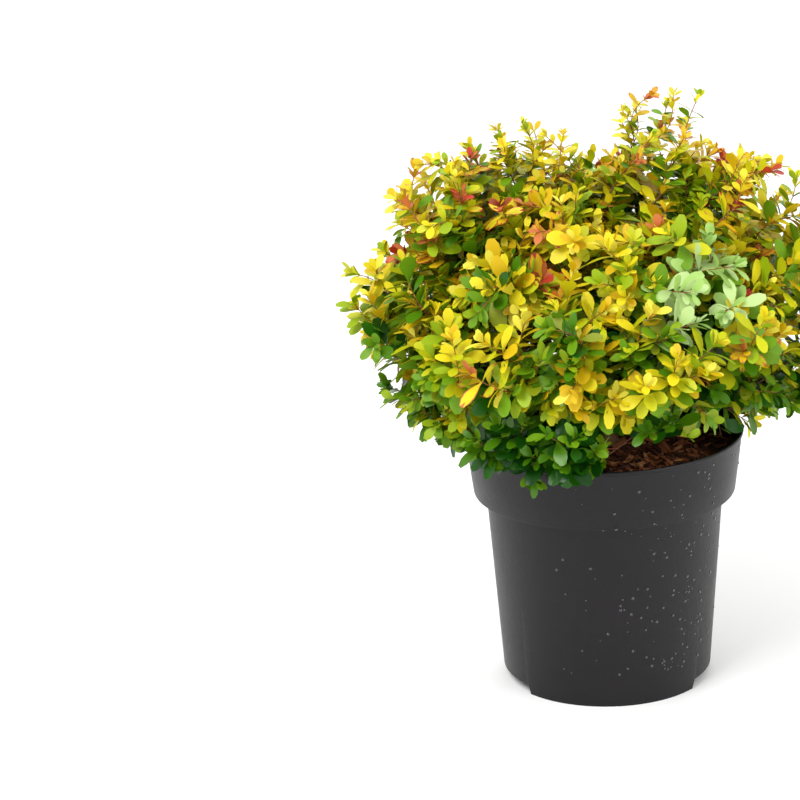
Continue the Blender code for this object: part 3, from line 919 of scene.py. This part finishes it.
# %% One leaf as a row of numbers
def leaf_row(foot, axis, turn, back, spray, chance):
    """Foot, direction, face, length, width, curl, tone and margin tone of one leaf."""
    tip_tones, middle_tones, foot_tones, margin = spray
    young = back < YOUNG_UNTIL
    side = axis.orthogonal().normalized()
    side.rotate(Matrix.Rotation(turn, 3, axis))
    lean = math.radians(chance.uniform(*(YOUNG_LEANS if young else OLD_LEANS)))
    way = (axis * math.cos(lean) + side * math.sin(lean)).normalized()
    face = axis * FACE_FORWARD + FACE_UP + Vector([chance.gauss(0, FACE_SPREAD) for _ in "xyz"])
    face = (face - way * face.dot(way)).normalized()
    length = chance.uniform(*(YOUNG_LENGTHS if young else OLD_LENGTHS))
    length *= 1 - SMALLER_BY * min(1.0, max(0.0, (foot[2] - SMALLER_FROM) / SMALLER_OVER))
    tones = tip_tones if young else middle_tones if back < MIDDLE_UNTIL else foot_tones
    tone = TONE_NUMBERS[chance.choice(tones)]
    edge = TONE_NUMBERS[margin] if margin and back < MARGIN_UNTIL else tone
    width = length * chance.uniform(*WIDTH_SHARES)
    return (*foot, *way, *face, length, width, chance.uniform(*CURLS), tone, edge)


def leaves_of_shoot(path, chance, rows):
    """Adds one row for each leaf, from the tip of a shoot back to where its leaves end."""
    spray = SPRAYS[spray_list(path[-1], chance)]
    reach = np.concatenate([[0], np.cumsum(np.linalg.norm(np.diff(path, axis=0), axis=1))])

    def place_at(distance):
        return np.array([np.interp(distance, reach, path[:, axis]) for axis in range(3)])

    turn = chance.uniform(0, math.tau)
    back = 0.0
    while back < min(LEAFY, reach[-1]):
        foot = place_at(reach[-1] - back)
        axis = Vector(unit(foot - place_at(reach[-1] - back - AXIS_LOOK_BACK)))
        young = back < YOUNG_UNTIL
        for _ in range(YOUNG_LEAVES if young else OLD_LEAVES + (chance.random() < THIRD_LEAF_SHARE)):
            turn += GOLDEN_TURN
            rows.append(leaf_row(foot, axis, turn, back, spray, chance))
        back += LEAF_STEP * chance.uniform(*LEAF_STEP_CHANGES)


# %% Leaves of one part: none in the pot or the clearing, none far outside the CAD box
KEEP_OFF_RADIUS, KEEP_OFF_HEIGHT = 0.0965, 0.1765
PROUD = 0.005


def allowed(points):
    """True for the leaves whose every point is where a leaf may be."""
    low, high = np.array(cad_box[0]) - PROUD, np.array(cad_box[1]) + PROUD
    in_box = ((points > low) & (points < high)).all(axis=(1, 2))
    near_axis = np.hypot(points[..., 0], points[..., 1]) < KEEP_OFF_RADIUS
    in_pot = near_axis & (points[..., 2] < KEEP_OFF_HEIGHT)
    return in_box & ~in_pot.any(axis=1) & ~in_clearing(points).any(axis=1)


def leaf_piece(name, rows):
    """Copies the leaf to every row and joins the copies."""
    rows = np.array(rows)
    foot, way, face = rows[:, 0:3], rows[:, 3:6], rows[:, 6:9]
    length, width, curl = (rows[:, column, None, None] for column in (9, 10, 11))
    across = np.cross(way, face)[:, None]
    x, y, z = (leaf_points[None, :, axis, None] for axis in range(3))
    points = foot[:, None] + across * x * width + way[:, None] * y * length
    points = points + face[:, None] * (z - curl * y * y) * length
    kept = allowed(points)
    points, rows = points[kept], rows[kept]
    kinds = np.where(on_margin[None], rows[:, 13:14], rows[:, 12:13]).ravel()
    triangles = copies(leaf_triangles, len(leaf_points), len(points))
    piece = joined(name, points.reshape(-1, 3), triangles, kinds, leaf_materials, True)
    return piece, len(points)


# %% [markdown]
# ## The whole crown
# Each part has its own seed, so a change in one part leaves the others alone. The sprig over the rim
# has no bough: its shoots grow from the low part above it, and both CAD solids are replaced together.

# %% Crown
RIM_SPRIG = "foliage_rim_sprig"
SPRIG_PARENT = "foliage_low_front_left"
FIRST_SEED = 100

leaf_total = 0
for number, mass in enumerate(sorted(name for name in nodes if name.startswith("foliage_"))):
    if mass == RIM_SPRIG:
        continue
    part = mass.replace("foliage_", "")
    covered = [mass, RIM_SPRIG] if mass == SPRIG_PARENT else [mass]
    chance = random.Random(FIRST_SEED + number)
    ends = shoot_ends(covered, chance)
    places, parents, shoots = grow_shoots(bough_ends["bough_" + part], ends, chance)
    twig_piece("twigs_" + part, places, parents, shoots)
    rows = []
    for shoot in shoots:
        leaves_of_shoot(places[shoot], chance, rows)
    piece, count = leaf_piece("leaves_" + part, rows)
    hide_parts(*covered)
    leaf_total += count
print("leaves in all:", leaf_total)
